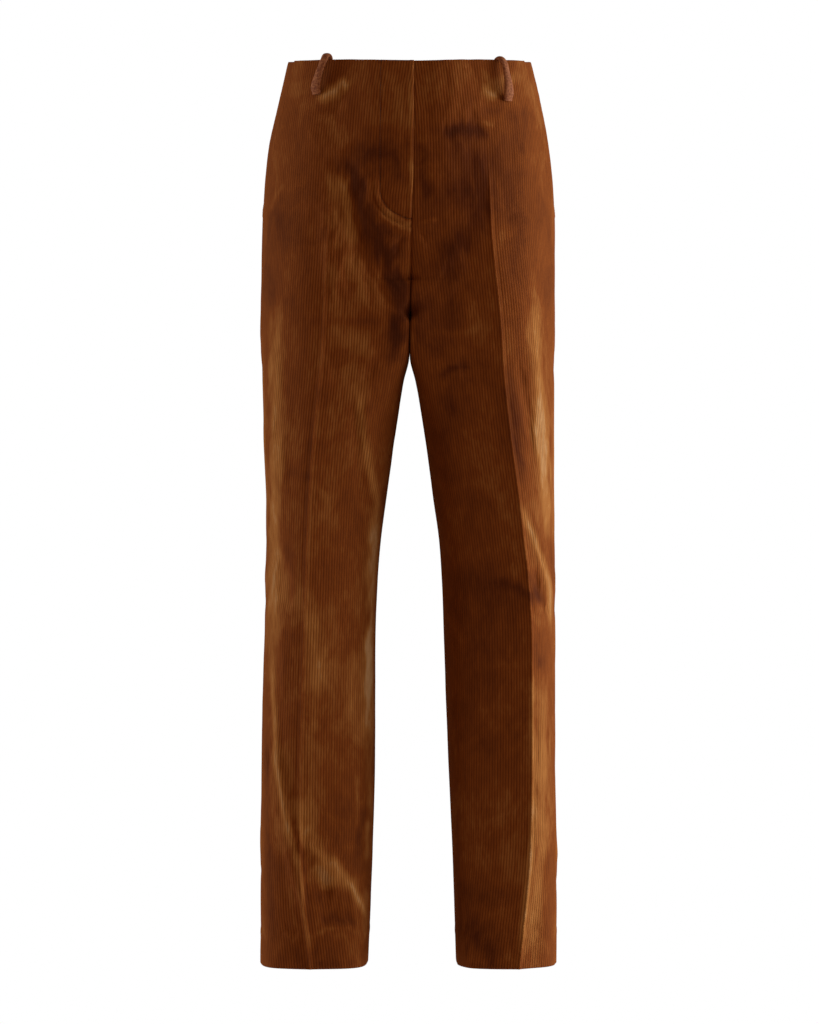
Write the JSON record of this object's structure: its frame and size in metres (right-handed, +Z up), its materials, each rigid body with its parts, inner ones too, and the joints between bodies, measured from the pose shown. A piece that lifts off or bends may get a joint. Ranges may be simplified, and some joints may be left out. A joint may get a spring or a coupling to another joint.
{
  "type": "corduroy trousers",
  "caption": "Straight-leg brown corduroy trousers with pressed creases, curved front pockets, a stitched fly and rouleau belt loops, filled out as if worn.",
  "frame": {"origin": "middle of the waist opening, level with its sides, where the wearer holds the trousers up", "axes": "+Z up along the body, -Y the front of the garment, +X the wearer's left"},
  "size_m": [0.3487, 0.249, 1.0769],
  "materials": {
    "corduroy": "cut-pile cotton corduroy, about eight wales to the inch, soft nap",
    "rouleau": "cotton cloth rolled into a soft tube"
  },
  "bodies": {
    "root": {"front_right": "corduroy", "front_left": "corduroy", "back_right": "corduroy", "back_left": "corduroy", "fly_lap": "corduroy", "pocket_right": "corduroy", "pocket_left": "corduroy", "belt_loop_front_right": "rouleau", "belt_loop_front_left": "rouleau", "belt_loop_back_right": "rouleau", "belt_loop_back_left": "rouleau", "belt_loop_centre_back": "rouleau"}
  },
  "joints": []
}
